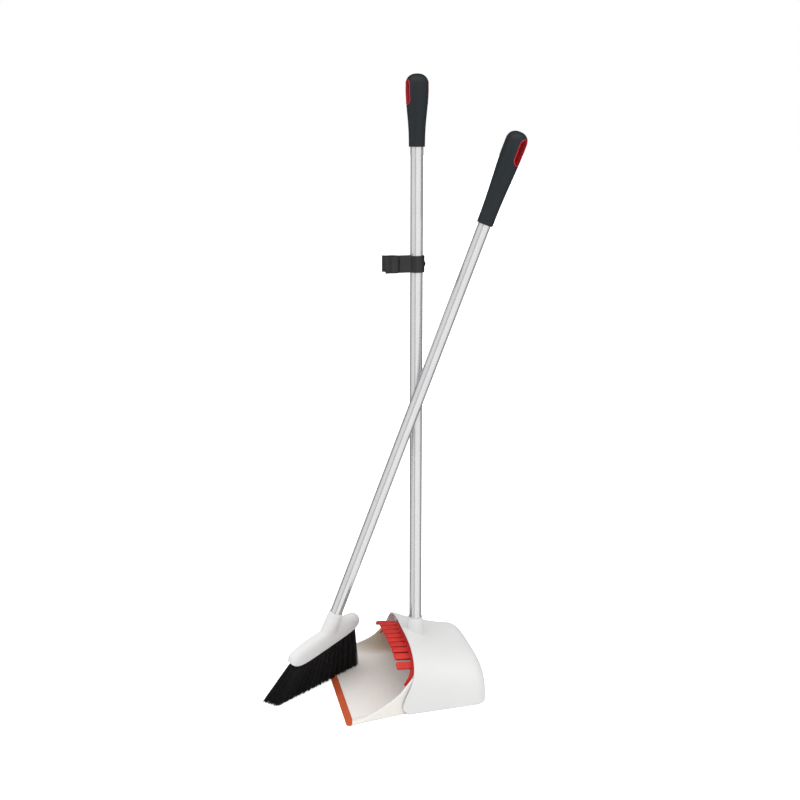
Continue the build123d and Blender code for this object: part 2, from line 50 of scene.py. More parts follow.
# ---------------------------------------------------------------- dimensions of the forms
TUBE_R = 9.5
TUBE_WALL = 1.0
PAN_TUBE = (60, 896)               # heights of the tube's two ends
BROOM_TUBE = (100, 872)

# Tray: its sides flare to the lip in front of STEP_Y and draw in behind it
LIP_Y = -134.5
LIP_BACK = -123.5
LIP_HALF_WIDTH = 123.5
TRAY_FRONT = -126.5
STEP_Y = -37.0
STEP_HALF_WIDTH = 105.5
BACK_Y = 88.0
BACK_HALF_WIDTH = 98.5
CORNER_R = 26.0
LEAN = tan(radians(2.5))
TUCK_Z = 46.0                      # above this the wall leans in more, to pass inside the hood
TUCK_LEAN = 0.07
FLOOR_T = 2.5
WALL_T = 2.4
FOOT_R = 15.0
RIM = [(-127.5, 2.8), (-106, 6), (-78, 18), (-50, 33), (-36, 47), (-27, 57)]
RIM_BACK = [(-24, 57), (8, 18)]

# Hood: a superellipse arch whose crown falls, a little less and less, towards the back
ARCH_Y = -21.0
ARCH_H = 94.5
ARCH_POWER = 3.5
HOOD_HALF_WIDTH = 110.0
HOOD_TAPER = 0.062
CROWN_FALL = 0.47
CROWN_SAG = 0.0017
ROUND_Y = 74.0
HOOD_BACK_Y = 93.0
SEAM = [(0, -36.5), (11, -44.5), (26, -40.5), (42, -32.5), (58, -26.5), (77, -23), (110, -21)]
RIM_ROUND = 0.85                   # edge radius of the hood's shell
SOCKET_TOP = 110.6
SOCKET_TOP_R = 12.1
SOCKET_BASE = 78.0
SOCKET_BASE_R = 14.0
SOCKET_FILLET = 1.6
SEAT_Z = 60.0
SEAT_T = 4.0
RAIL_HALF_WIDTH = 100.0
RAIL_H = 80.0
RAIL_POWER = 3.4
RIB_Y = -12.0
RIB_T = 2.2
RIB_FOOT = 60.0

# Grips: z0 and z1 are the ends, slot_z and slot_h the middle and length of the hanging slot
PAN_GRIP = dict(z0=846.5, z1=949.0, low_r=11.8, top_r=16.7, slot_z=923.0, slot_h=36.0, turn=6.0)
BROOM_GRIP = dict(z0=785.0, z1=925.0, low_r=12.2, top_r=16.0, slot_z=897.5, slot_h=40.0, turn=0.0)
GRIP_SWELL = [(0.0, 0.0), (0.16, 0.05), (0.32, 0.24), (0.48, 0.55), (0.64, 0.87), (0.76, 1.0), (0.86, 0.985)]
SLOT_W = 17.4
LINER_T = 1.4
LINER_PROUD = 0.2
LINER_ROUND = 0.9

# Broom, in its own frame: origin on the floor under its tube's axis, Z up the tube
FOOT = Vector((-20.0, -172.0, 0.0))
TOUCH_Z = 468.0                    # height where its tube passes the dustpan's
TUBE_GAP = 0.4
HEADING = Vector((-0.6, 0.8, 0.0))
HEAD_TILT = 24.4
HEAD_Z = 76.7
HEAD_HALF_L = 74.0
HEAD_HALF_T = 13.0
HEAD_H = 27.0
END_POWER = 4.5
END_LIFT = 7.0
NECK_TOP = 134.0
NECK_R = 11.5

# Bristles
BLOCK_HALF_L = 64.0
ROW_PITCH = 6.2
TUFT_COLUMNS = 14
FILAMENTS = 235                    # in each tuft
FAN_LOW = 42.5                     # lean of the outermost tufts at each end, in degrees
FAN_HIGH = 1.0
ROW_SPLAY = 3.5
HAIR_ROOT_R = 0.36
HAIR_TIP_R = 0.28


# ---------------------------------------------------------------- curves
def curve_at(points, x):
    """Smooth curve through (x, y) points, read at x; straight beyond its ends."""
    if x <= points[0][0]:
        return points[0][1]
    if x >= points[-1][0]:
        return points[-1][1]
    slopes = []
    for i in range(len(points)):
        a, b = points[max(i - 1, 0)], points[min(i + 1, len(points) - 1)]
        slopes.append((b[1] - a[1]) / (b[0] - a[0]))
    i = max(k for k in range(len(points) - 1) if points[k][0] <= x)
    (xa, ya), (xb, yb) = points[i], points[i + 1]
    h = xb - xa
    t = (x - xa) / h
    return ((2 * t ** 3 - 3 * t ** 2 + 1) * ya + (t ** 3 - 2 * t ** 2 + t) * h * slopes[i]
            + (3 * t ** 2 - 2 * t ** 3) * yb + (t ** 3 - t ** 2) * h * slopes[i + 1])


def ease(t):
    """Smooth step from 0 to 1."""
    t = min(max(t, 0.0), 1.0)
    return t * t * (3 - 2 * t)


def arch_xz(half_width, height, power, angle):
    """Point of a superellipse arch; angle 0 is the +X foot, pi the -X foot."""
    c, s = cos(angle), max(sin(angle), 0.0)
    across = half_width * abs(c) ** (2 / power) * (1 if c > 0 else -1)
    return across, height * s ** (2 / power)


def even_angles(half_width, height, power, count):
    """Angles that space points evenly along the arch."""
    dense = [pi * i / 4000 for i in range(4001)]
    points = [arch_xz(half_width, height, power, a) for a in dense]
    run = [0.0]
    for a, b in zip(points, points[1:]):
        run.append(run[-1] + hypot(b[0] - a[0], b[1] - a[1]))
    angles, k = [], 0
    for i in range(count):
        goal = run[-1] * i / (count - 1)
        while k < len(run) - 1 and run[k] < goal:
            k += 1
        angles.append(dense[k])
    return angles


# ---------------------------------------------------------------- meshes
def new_object(name, points, faces, place=None):
    """Mesh object from points in millimetres, with normals outwards and smooth shading."""
    mesh = bpy.data.meshes.new(name)
    if place is not None:
        points = [place @ Vector(p) for p in points]
    mesh.from_pydata([(p[0] * MM, p[1] * MM, p[2] * MM) for p in points], [], faces)
    tidy_mesh(mesh)
    obj = bpy.data.objects.new(name, mesh)
    bpy.context.scene.collection.objects.link(obj)
    return obj


def tidy_mesh(mesh, sharp=40):
    """Merge doubled points, turn normals outwards and shade smooth up to an angle in degrees."""
    bm = bmesh.new()
    bm.from_mesh(mesh)
    bmesh.ops.remove_doubles(bm, verts=bm.verts, dist=2e-6)
    bmesh.ops.recalc_face_normals(bm, faces=bm.faces)
    bm.to_mesh(mesh)
    bm.free()
    mesh.shade_smooth()
    mesh.set_sharp_from_angle(angle=radians(sharp))


def grid_faces(rows, columns, wrap=False, start=0):
    """Quads between rows of points; wrap closes each row, start is the first point's index."""
    faces = []
    for r in range(rows - 1):
        for c in range(columns if wrap else columns - 1):
            a = start + r * columns + c
            b = start + r * columns + (c + 1) % columns
            faces.append((a, b, b + columns, a + columns))
    return faces


def loft_solid(name, rings, place=None):
    """Closed solid through rings of equal point counts, with flat ends."""
    columns = len(rings[0])
    points = [p for ring in rings for p in ring]
    faces = grid_faces(len(rings), columns, wrap=True)
    faces.append(tuple(reversed(range(columns))))
    faces.append(tuple(range(len(points) - columns, len(points))))
    return new_object(name, points, faces, place)


def circle(radius, z, sides):
    turns = [2 * pi * i / sides for i in range(sides)]
    return [(radius * cos(turn), radius * sin(turn), z) for turn in turns]


def lathe(name, profile, sides=96, place=None):
    """Body turned about Z from (radius, height) points; a closed profile makes a ring."""
    points = [p for r, z in profile for p in circle(r, z, sides)]
    faces = grid_faces(len(profile), sides, wrap=True)
    if profile[0] != profile[-1]:
        faces.append(tuple(range(sides)))
        faces.append(tuple(range(len(points) - sides, len(points))))
    return new_object(name, points, faces, place)


def add_modifier(obj, kind, **settings):
    """New modifier with the given settings."""
    modifier = obj.modifiers.new(kind.lower(), kind)
    for key, value in settings.items():
        setattr(modifier, key, value)
    return modifier


def bake_modifiers(obj):
    """Replace the mesh by its result with all modifiers."""
    depsgraph = bpy.context.evaluated_depsgraph_get()
    mesh = bpy.data.meshes.new_from_object(obj.evaluated_get(depsgraph))
    obj.modifiers.clear()
    obj.data = mesh
    return obj


def join(name, objects):
    """One object from several."""
    with bpy.context.temp_override(active_object=objects[0], selected_editable_objects=objects):
        bpy.ops.object.join()
    objects[0].name = name
    objects[0].data.name = name
    return objects[0]


def melt(obj, voxel, rounds, factor=0.5):
    """Remesh in even voxels and relax, so that joins become soft fillets."""
    add_modifier(obj, "REMESH", mode="VOXEL", voxel_size=voxel * MM, use_smooth_shade=True)
    add_modifier(obj, "SMOOTH", factor=factor, iterations=rounds)
    bake_modifiers(obj)
    obj.data.shade_smooth()
    return obj


def settle(obj, body, material_name, node_name):
    """Finish a piece: its material, the body it rides on and the node it stands for."""
    obj.data.materials.clear()
    obj.data.materials.append(MATERIALS[material_name])
    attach(obj, body)
    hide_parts(node_name)


# ---------------------------------------------------------------- materials
def map_range(tree, value, low, high, to_low, to_high):
    """The value carried from one range to another, and held at its ends."""
    node = tree.nodes.new("ShaderNodeMapRange")
    tree.links.new(value, node.inputs["Value"])
    for key, number in (("From Min", low), ("From Max", high), ("To Min", to_low), ("To Max", to_high)):
        node.inputs[key].default_value = number
    return node.outputs["Result"]


class Shader:
    """Procedural material built round one Principled node."""

    def __init__(self, name):
        self.material = bpy.data.materials.new(name)
        self.material.use_nodes = True
        self.tree = self.material.node_tree
        self.bsdf = self.tree.nodes["Principled BSDF"]
        self.coords = self.tree.nodes.new("ShaderNodeTexCoord").outputs["Object"]

    def link(self, a, b):
        self.tree.links.new(a, b)

    def put(self, name, value):
        """Set an input of the Principled node to a value or to another node's output."""
        socket = self.bsdf.inputs[name]
        if hasattr(value, "node"):
            self.link(value, socket)
        else:
            socket.default_value = value

    def noise(self, scale, detail=2.0, stretch=(1, 1, 1), distortion=0.0):
        mapping = self.tree.nodes.new("ShaderNodeMapping")
        mapping.inputs["Scale"].default_value = stretch
        self.link(self.coords, mapping.inputs["Vector"])
        node = self.tree.nodes.new("ShaderNodeTexNoise")
        node.inputs["Scale"].default_value = scale
        node.inputs["Detail"].default_value = detail
        node.inputs["Distortion"].default_value = distortion
        self.link(mapping.outputs["Vector"], node.inputs["Vector"])
        return node.outputs["Fac"]

    def axis(self, letter):
        """Distance along one axis from the origin, in metres."""
        node = self.tree.nodes.new("ShaderNodeSeparateXYZ")
        self.link(self.coords, node.inputs[0])
        return node.outputs[letter]

    def normal_x(self):
        """How far the surface faces along X, from -1 to 1."""
        node = self.tree.nodes.new("ShaderNodeSeparateXYZ")
        self.link(self.tree.nodes.new("ShaderNodeTexCoord").outputs["Normal"], node.inputs[0])
        return node.outputs["X"]

    def openness(self, reach):
        """1 on open surfaces, less in grooves and corners narrower than `reach` metres; used to paint shade
        into such grooves and corners.
        """
        node = self.tree.nodes.new("ShaderNodeAmbientOcclusion")
        node.samples = 8
        node.inputs["Distance"].default_value = reach
        return node.outputs["AO"]

    def ramp(self, value, low, high, to_low=0.0, to_high=1.0):
        return map_range(self.tree, value, low, high, to_low, to_high)

    def times(self, a, b):
        node = self.tree.nodes.new("ShaderNodeMath")
        node.operation = "MULTIPLY"
        for socket, value in zip(node.inputs, (a, b)):
            if hasattr(value, "node"):
                self.link(value, socket)
            else:
                socket.default_value = value
        return node.outputs[0]

    def mix(self, factor, a, b):
        """Colour a where the factor is 0, colour b where it is 1."""
        node = self.tree.nodes.new("ShaderNodeMix")
        node.data_type = "RGBA"
        for key, value in ((0, factor), (6, a), (7, b)):
            if hasattr(value, "node"):
                self.link(value, node.inputs[key])
            else:
                node.inputs[key].default_value = value if key == 0 else (*value, 1.0)
        return node.outputs[2]

    def bump(self, *layers):
        """Each layer is (height, strength, distance in metres)."""
        normal = None
        for height, strength, distance in layers:
            node = self.tree.nodes.new("ShaderNodeBump")
            node.inputs["Strength"].default_value = strength
            node.inputs["Distance"].default_value = distance
            self.link(height, node.inputs["Height"])
            if normal is not None:
                self.link(normal, node.inputs["Normal"])
            normal = node.outputs["Normal"]
        self.put("Normal", normal)


def white_plastic(name, base, shade):
    """Satin white moulding: faint orange peel, fine scuffs, a little grime near the floor and painted shade
    in creases.
    """
    s = Shader(name)
    return finish_white_with_crease_shade(s, s.mix(s.ramp(s.noise(14, 3), 0.35, 0.65), base, shade))


def tray_plastic(name, base, shade, inner_shade):
    """The same white, a little creamier, with brown painted shade on the walls inside the bin, stronger
    towards the back.
    """
    s = Shader(name)
    colour = s.mix(s.ramp(s.noise(14, 3), 0.35, 0.65), base, shade)
    # Painted shade: walls that face into the bin, more so further back under the hood, are mixed towards the
    # last, brown colour.
    facing_in = s.times(s.times(s.axis("X"), -1.0), s.normal_x())
    inner_wall_shade = s.ramp(facing_in, 0.02, 0.085)
    depth = s.ramp(s.axis("Y"), -0.085, -0.040)
    return finish_white_with_crease_shade(s, s.mix(s.times(s.times(inner_wall_shade, depth), 0.9), colour, inner_shade))


def finish_white_with_crease_shade(s, colour):
    """Scuffs, grime, painted shade in creases and seams, and gloss shared by the white mouldings."""
    scuff = s.ramp(s.noise(46, 6, stretch=(1, 1, 5), distortion=1.6), 0.69, 0.76)
    low = s.ramp(s.axis("Z"), 0.0, 0.030, 1.0, 0.0)
    grime = s.times(s.times(low, s.ramp(s.noise(150, 5), 0.50, 0.75)), 0.10)
    colour = s.mix(s.times(scuff, 0.05), colour, (0.45, 0.44, 0.42))
    colour = s.mix(grime, colour, (0.52, 0.49, 0.44))
    # Painted shade: narrow creases and seams are darkened towards grey.
    s.put("Base Color", s.mix(s.ramp(s.openness(0.007), 0.15, 0.60), (0.42, 0.41, 0.39), colour))
    s.put("Roughness", s.ramp(s.noise(120, 4, distortion=0.6), 0.3, 0.7, 0.44, 0.54))
    s.put("Specular IOR Level", 0.32)
    s.put("Subsurface Weight", 0.06)
    s.put("Subsurface Radius", (0.004, 0.0035, 0.003))
    s.bump((s.noise(700, 2), 0.06, 0.0003), (scuff, 0.05, 0.0001))
    return s.material


def coloured_plastic(name, base, deep, roughness, grain=900, shine=0.45, gap_shade=None):
    """Moulded plastic with a faint cloud of a deeper tone; the optional last colour is painted shade in
    narrow gaps.
    """
    s = Shader(name)
    colour = s.mix(s.ramp(s.noise(60, 4), 0.35, 0.7), base, deep)
    # Painted shade: narrow gaps, such as those between the comb's teeth, take the darker last colour.
    if gap_shade:
        colour = s.mix(s.ramp(s.openness(0.009), 0.25, 0.90), gap_shade, colour)
    s.put("Base Color", colour)
    s.put("Roughness", s.ramp(s.noise(260, 3), 0.3, 0.7, roughness - 0.06, roughness + 0.08))
    s.put("Specular IOR Level", shine)
    s.bump((s.noise(grain, 2), 0.12, 0.0002))
    return s.material


def soft_rubber(name, base, worn, roughness):
    """Matte moulded rubber: fine texture, paler where hands or floors have rubbed it."""
    s = Shader(name)
    rub = s.ramp(s.noise(40, 5, stretch=(1, 1, 0.4)), 0.45, 0.75)
    s.put("Base Color", s.mix(rub, base, worn))
    s.put("Roughness", s.ramp(s.noise(180, 4), 0.3, 0.7, roughness - 0.08, roughness + 0.08))
    s.put("Specular IOR Level", 0.28)
    s.bump((s.noise(2600, 2), 0.35, 0.00012), (s.noise(90, 3), 0.08, 0.0004))
    return s.material


def satin_metal(name, base, shade, roughness, draw):
    """Drawn tube: fine lines along its length, faint smudges, and a painted reflection that darkens it where
    it turns away.
    """
    s = Shader(name)
    lines = s.noise(1500, 2, stretch=draw)
    smudge = s.ramp(s.noise(22, 3, distortion=0.4), 0.35, 0.75)
    # Painted reflection: the colour darkens towards the edges that turn away from the view.
    facing = s.tree.nodes.new("ShaderNodeLayerWeight")
    facing.inputs["Blend"].default_value = 0.35
    edge = s.ramp(facing.outputs["Facing"], 0.35, 0.80, 0.0, 0.9)
    s.put("Base Color", s.mix(edge, s.mix(smudge, base, shade), [c * 0.22 for c in base]))
    s.put("Metallic", 0.75)
    s.put("Specular IOR Level", 0.15)
    s.put("Roughness", s.ramp(s.noise(50, 3), 0.3, 0.7, roughness - 0.01, roughness + 0.02))
    s.bump((lines, 0.04, 0.00005))
    return s.material


MATERIALS = {
    "white": white_plastic("white_plastic", (0.70, 0.70, 0.695), (0.685, 0.685, 0.68)),
    # The tray's last colour is painted shade for the walls inside the bin.
    "tray": tray_plastic("tray_plastic", (0.78, 0.755, 0.715), (0.765, 0.74, 0.70), (0.50, 0.40, 0.29)),
    "lip": soft_rubber("orange_lip", (0.50, 0.085, 0.028), (0.54, 0.11, 0.040), 0.42),
    # The comb's dark red last colour is painted shade between its teeth.
    "comb": coloured_plastic("red_comb", (0.64, 0.024, 0.017), (0.52, 0.018, 0.013), 0.34,
                             gap_shade=(0.22, 0.004, 0.004)),
    "liner": coloured_plastic("red_liner", (0.42, 0.018, 0.028), (0.34, 0.012, 0.02), 0.26),
    "grip": soft_rubber("soft_grip", (0.012, 0.017, 0.020), (0.017, 0.022, 0.026), 0.50),
    "tube": satin_metal("satin_tube", (0.80, 0.80, 0.81), (0.77, 0.77, 0.78), 0.17, (1, 1, 0.01)),
    "black": coloured_plastic("black_plastic", (0.012, 0.012, 0.013), (0.018, 0.018, 0.019), 0.36),
    "grey": coloured_plastic("grey_plastic", (0.28, 0.28, 0.29), (0.24, 0.24, 0.25), 0.45),
    "screw": satin_metal("screw_steel", (0.60, 0.60, 0.60), (0.50, 0.50, 0.50), 0.35, (1, 1, 1)),
    "bristle": coloured_plastic("bristle", (0.006, 0.006, 0.007), (0.010, 0.010, 0.011), 0.45, 400, 0.25),
}
KEPT_NODES = {
    "comb": ["bristle_comb"],
    "black": ["storage_clip", "clip_screw", "bristle_block"],
    "grey": ["pan_tube_plug", "broom_tube_plug", "pan_grip_core", "broom_grip_core"],
    "screw": ["pan_tube_screw", "broom_tube_screw", "block_screws"],
}


# ---------------------------------------------------------------- hood
def hood_size(y):
    """Half width and height of the hood's outside at y."""
    run = y - ARCH_Y
    half_width = HOOD_HALF_WIDTH - HOOD_TAPER * (y - STEP_Y)
    height = ARCH_H - CROWN_FALL * run + CROWN_SAG * max(run, 0.0) ** 2
    if y > ROUND_Y:
        radius = HOOD_BACK_Y - ROUND_Y
        drop = radius - sqrt(max(radius ** 2 - (y - ROUND_Y) ** 2, 0.0))
        half_width -= drop
        height -= drop
    return half_width, height


def hood_height(x, y):
    """Height of the hood's outside at (x, y)."""
    half_width, height = hood_size(y)
    return height * (1 - (abs(x) / half_width) ** ARCH_POWER) ** (1 / ARCH_POWER)


def hood_row(y, angle):
    """Point of the hood's outside at y, at one angle of the arch."""
    half_width, height = hood_size(y)
    x, z = arch_xz(half_width, height, ARCH_POWER, angle)
    return x, y, z


def seam_y(angle):
    """Where the arch at this angle meets the hood's front edge."""
    y = ARCH_Y
    for _ in range(6):
        y = curve_at(SEAM, hood_row(y, angle)[2])
    return y


def hood_shell():
    """Arched shell: straight rows, a rounded back and a flat cap, then given its thickness."""
    columns = 141
    straight_rows, round_rows, cap_rows = 34, 12, 6
    angles = even_angles(106, 88, ARCH_POWER, columns)
    front = [seam_y(angle) for angle in angles]
    points = []
    for r in range(straight_rows):
        share = (r / straight_rows) ** 1.25
        points += [hood_row(y0 + (ROUND_Y - y0) * share, angle) for y0, angle in zip(front, angles)]
    for r in range(round_rows + 1):
        y = ROUND_Y + (HOOD_BACK_Y - ROUND_Y) * sin(pi / 2 * r / round_rows)
        points += [hood_row(min(y, HOOD_BACK_Y), angle) for angle in angles]
    last = points[-columns:]
    for r in range(1, cap_rows):
        scale = 1 - r / cap_rows
        points += [(x * scale, y, z * scale) for x, y, z in last]
    rows = straight_rows + round_rows + cap_rows
    faces = grid_faces(rows, columns)
    faces.append(tuple(range((rows - 1) * columns, rows * columns)))
    shell = new_object("hood_shell", points, faces)
    add_modifier(shell, "SOLIDIFY", thickness=WALL_T * MM, offset=-1.0, use_even_offset=True)
    add_modifier(shell, "BEVEL", width=RIM_ROUND * MM, segments=3, limit_method="ANGLE",
                 angle_limit=radians(55))
    bake_modifiers(shell)
    tidy_mesh(shell.data, 50)
    return shell


def hood_rib():
    """Plate inside the hood that the comb's rail clips on to."""
    half_width, height = hood_size(RIB_Y)
    skin = 1.2
    outer = (half_width - skin, height - skin, ARCH_POWER)
    inner = (RAIL_HALF_WIDTH, RAIL_H, RAIL_POWER)
    front_y, back_y = RIB_Y - RIB_T / 2, RIB_Y + RIB_T / 2
    rows = []
    for angle in even_angles(half_width, height, ARCH_POWER, 81):
        outer_x, outer_z = arch_xz(*outer, angle)
        inner_x, inner_z = arch_xz(*inner, angle)
        if outer_z > RIB_FOOT + 0.01:
            inner_z = max(inner_z, RIB_FOOT)
            rows.append([(outer_x, front_y, outer_z), (inner_x, front_y, inner_z),
                         (inner_x, back_y, inner_z), (outer_x, back_y, outer_z)])
    return loft_solid("hood_rib", rows)


def socket_foot(share, turn):
    """Point of the fillet between the socket and the hood; share runs down from 0 to 1."""
    c, s = cos(turn), sin(turn)
    reach = SOCKET_BASE_R + 0.4
    z = hood_height(reach * c, reach * s) + SOCKET_FILLET * (1 - sin(share * pi / 2))
    narrowing = (SOCKET_TOP_R - SOCKET_BASE_R) * (z - SOCKET_BASE) / (SOCKET_TOP - SOCKET_BASE)
    r = SOCKET_BASE_R + narrowing + SOCKET_FILLET * (1 - cos(share * pi / 2))
    if share == 1:
        z = hood_height(r * c, r * s) - 0.15
    return r * c, r * s, z


def socket():
    """Tapered collar for the tube, with a soft fillet on to the hood, and the seat inside it."""
    sides, fillet_rows = 96, 10
    bore = TUBE_R + 0.1
    profile = [(bore, SOCKET_TOP - 12), (bore, SOCKET_TOP - 0.6), (bore + 0.5, SOCKET_TOP),
               (SOCKET_TOP_R - 0.9, SOCKET_TOP), (SOCKET_TOP_R - 0.25, SOCKET_TOP - 0.25),
               (SOCKET_TOP_R, SOCKET_TOP - 0.9)]
    points = [p for r, z in profile for p in circle(r, z, sides)]
    for k in range(fillet_rows):
        share = k / (fillet_rows - 1)
        points += [socket_foot(share, 2 * pi * i / sides) for i in range(sides)]
    collar = new_object("socket", points, grid_faces(len(profile) + fillet_rows, sides, wrap=True))
    under = SEAT_Z - SEAT_T
    seat = [(2.2, under + 0.2), (11.8, under), (12.4, under + 0.6), (12.4, 90), (bore, 90), (bore, SEAT_Z),
            (2.2, SEAT_Z), (2.2, under + 0.2)]
    return [collar, lathe("seat", seat, 64)]


# ---------------------------------------------------------------- tray
def tray_path():
    """Outer foot line of the tray, right front to left front: (x, y, inward x, inward y)."""
    flare = (LIP_HALF_WIDTH - STEP_HALF_WIDTH) / (STEP_Y - LIP_Y)
    taper = (STEP_HALF_WIDTH - BACK_HALF_WIDTH) / (BACK_Y - STEP_Y)
    path = []
    for i in range(60):
        y = TRAY_FRONT + (STEP_Y - TRAY_FRONT) * i / 60
        n = Vector((-1, -flare)).normalized()
        path.append((STEP_HALF_WIDTH + flare * (STEP_Y - y), y, n.x, n.y))
    side_end = BACK_Y - CORNER_R
    for i in range(24):
        y = STEP_Y + (side_end - STEP_Y) * i / 24
        n = Vector((-1, -taper)).normalized()
        path.append((STEP_HALF_WIDTH - taper * (y - STEP_Y), y, n.x, n.y))
    centre = (STEP_HALF_WIDTH - taper * (side_end - STEP_Y) - CORNER_R, side_end)
    for i in range(17):
        a = pi / 2 * i / 16
        path.append((centre[0] + CORNER_R * cos(a), centre[1] + CORNER_R * sin(a), -cos(a), -sin(a)))
    for i in range(1, 5):
        path.append((centre[0] * (1 - i / 5), BACK_Y, 0, -1))
    mirrored = [(-x, y, -nx, ny) for x, y, nx, ny in reversed(path)]
    return path + mirrored


def rim_height(y):
    """Height of the wall's top edge at y."""
    if y <= RIM[-1][0]:
        return curve_at(RIM, y)
    if y <= RIM_BACK[0][0]:
        return RIM[-1][1]
    (start_y, start_z), (end_y, end_z) = RIM_BACK
    share = min((y - start_y) / (end_y - start_y), 1.0)
    return start_z + (end_z - start_z) * share


def outer_inset(z):
    """How far the wall's outside stands in from its foot at height z."""
    return z * LEAN + max(z - TUCK_Z, 0.0) * TUCK_LEAN


def inner_inset(z):
    """The same for the wall's inside, which has a rounded foot."""
    foot = 0.0
    if z - FLOOR_T < FOOT_R:
        foot = FOOT_R - sqrt(max(FOOT_R ** 2 - (FOOT_R - (z - FLOOR_T)) ** 2, 0.0))
    return outer_inset(z) + WALL_T + foot


def tray_profile(top):
    """(inset, height) points from the outer foot over the rim and down to the floor."""
    inner_top = inner_inset(top - 0.5)
    outer_top = outer_inset(top)
    half = (inner_top - outer_top) / 2
    middle = (inner_top + outer_top) / 2
    crown = min(half, 1.3, top - 0.4)
    points = [(0.5, 0.0), (0.0, 0.5)]
    for k in range(1, 9):
        z = 0.5 + (top - crown - 0.5) * k / 8
        points.append((outer_inset(z), z))
    for k in range(1, 8):
        a = pi * k / 8
        points.append((middle - half * cos(a), top - crown + crown * sin(a)))
    foot_top = max(top - crown, FLOOR_T + 0.01)
    for k in range(0, 15):
        z = FLOOR_T + (foot_top - FLOOR_T) * (1 - k / 14) ** 1.7
        points.append((inner_inset(z), z))
    return points


def build_tray():
    """The wall's profile carried round the foot line, with the floor's two faces and a front face."""
    path = tray_path()
    points = []
    for x, y, nx, ny in path:
        for inset, z in tray_profile(rim_height(y)):
            along = ny * inset if abs(nx) < 0.98 else 0
            points.append((x + nx * inset, y + along, z))
    count = len(path)
    columns = len(points) // count
    faces = grid_faces(count, columns)
    faces.append(tuple(i * columns + columns - 1 for i in range(count)))
    faces.append(tuple(i * columns for i in reversed(range(count))))
    right = list(range(columns))
    left = list(range((count - 1) * columns, count * columns))
    faces.append(tuple(right + left[::-1]))
    return new_object("tray", points, faces)


# ---------------------------------------------------------------- lip
LIP_TOP = [(-134.3, 0.0), (-134.5, 0.35), (-134.3, 0.75), (-133.5, 1.1), (-131.4, 1.75), (-129.3, 2.5),
           (-128.0, 3.05), (-127.0, 3.38), (-126.0, 3.45), (-125.0, 3.3), (-124.1, 3.38), (-123.6, 3.1),
           (-123.5, 2.6)]
LIP_UNDER = [(-123.6, 2.55), (-126.5, 2.55), (-126.6, 2.5), (-126.6, 0.0)]
LIP_BUTT = -126.55                 # the lip meets the tray's front edge here, and laps over it behind
LIP_CORNER_R = 6.0


def build_lip():
    """Soft wedge with a rounded nose, a shallow ridge and a lap over the tray's floor."""
    count = 181
    rings = []
    for i in range(count):
        x = LIP_HALF_WIDTH * sin((2 * i / (count - 1) - 1) * pi / 2)
        edge = max(abs(x) - (LIP_HALF_WIDTH - LIP_CORNER_R), 0.0)
        front = LIP_Y + LIP_CORNER_R - sqrt(LIP_CORNER_R ** 2 - edge ** 2)
        lap = LIP_BACK - 2.0 * ease((abs(x) - 112) / 9)
        rings.append([lip_point(x, y, z, front, lap) for y, z in LIP_TOP + LIP_UNDER])
    return loft_solid("lip", rings)


def lip_point(x, y, z, front, lap):
    """Point of the section at x, stretched to reach from `front` to `lap`."""
    wave = 0.0
    if y > LIP_BUTT:
        stretched = LIP_BUTT + (y - LIP_BUTT) * (lap - LIP_BUTT) / (LIP_BACK - LIP_BUTT)
    else:
        stretched = LIP_BUTT - (LIP_BUTT - y) * (LIP_BUTT - front) / (LIP_BUTT - LIP_Y)
    if y < -133:
        wave = 0.12 * sin(x * 0.21) * sin(x * 0.067 + 1.0)
    narrowing = 1 - 0.0125 * (stretched - LIP_Y) / 8.0
    return x * narrowing, stretched + wave, z


# ---------------------------------------------------------------- grips
def grip_profile(z0, z1, low_r, top_r, **_):
    """(radius, height) points of a club that swells upwards and ends in a flattened dome."""
    length = z1 - z0
    dome_z = z1 - top_r * 0.86
    side = []
    for i in range(61):
        share = i / 60 * (dome_z - z0) / length
        side.append((low_r + (top_r - low_r) * curve_at(GRIP_SWELL, share), z0 + length * share))
    dome_r = side[-1][0]
    for i in range(1, 15):
        a = pi / 2 * i / 15
        side.append((dome_r * cos(a) ** 0.84, dome_z + (z1 - dome_z) * sin(a)))
    side.append((0.35, z1))
    return grip_end(z0, low_r) + side[1:]


def grip_end(z0, low_r):
    """The grip's lower end: a bore for the tube, a chamfer and a soft outer edge."""
    bore = TUBE_R + 0.1
    chamfer = [(bore, z0 + 3.0), (bore, z0 + 0.5), (low_r - 1.2, z0)]
    return chamfer + [(low_r - 0.4, z0 + 0.25), (low_r, z0 + 1.0)]


def grip_radius(spec, z):
    """Radius of the grip's outside at height z."""
    profile = grip_profile(**spec)
    for (ra, za), (rb, zb) in zip(profile, profile[1:]):
        if za <= z <= zb:
            return ra + (rb - ra) * (z - za) / max(zb - za, 1e-6)
    return 0.5


def slot_outline(width, height, count=96):
    """Points round an upright slot with round ends, centred on the origin: (x, z)."""
    r, straight = width / 2, height - width
    length = 2 * straight + 2 * pi * r
    points = []
    for i in range(count):
        d = length * i / count
        if d < straight:
            points.append((r, -straight / 2 + d))
        elif d < straight + pi * r:
            a = (d - straight) / r
            points.append((r * cos(a), straight / 2 + r * sin(a)))
        elif d < 2 * straight + pi * r:
            points.append((-r, straight / 2 - (d - straight - pi * r)))
        else:
            a = (d - 2 * straight - pi * r) / r
            points.append((-r * cos(a), -straight / 2 - r * sin(a)))
    return points


def build_grip(name, spec, place=None):
    """Club form with the hanging slot cut through and every edge softened."""
    form = lathe(name, grip_profile(**spec), 128)
    outline = slot_outline(SLOT_W - 0.4, spec["slot_h"] - 0.4)
    beyond = 40
    rings = [[(x, y, spec["slot_z"] + z) for x, z in outline] for y in (-beyond, beyond)]
    cutter = loft_solid("cutter", rings, Matrix.Rotation(radians(spec["turn"]), 4, "Z"))
    add_modifier(form, "BOOLEAN", operation="DIFFERENCE", object=cutter, solver="EXACT")
    bake_modifiers(form)
    bpy.data.objects.remove(cutter)
    melt(form, 0.62, 5)
    if place is not None:
        form.data.transform(scaled(place))
    return form


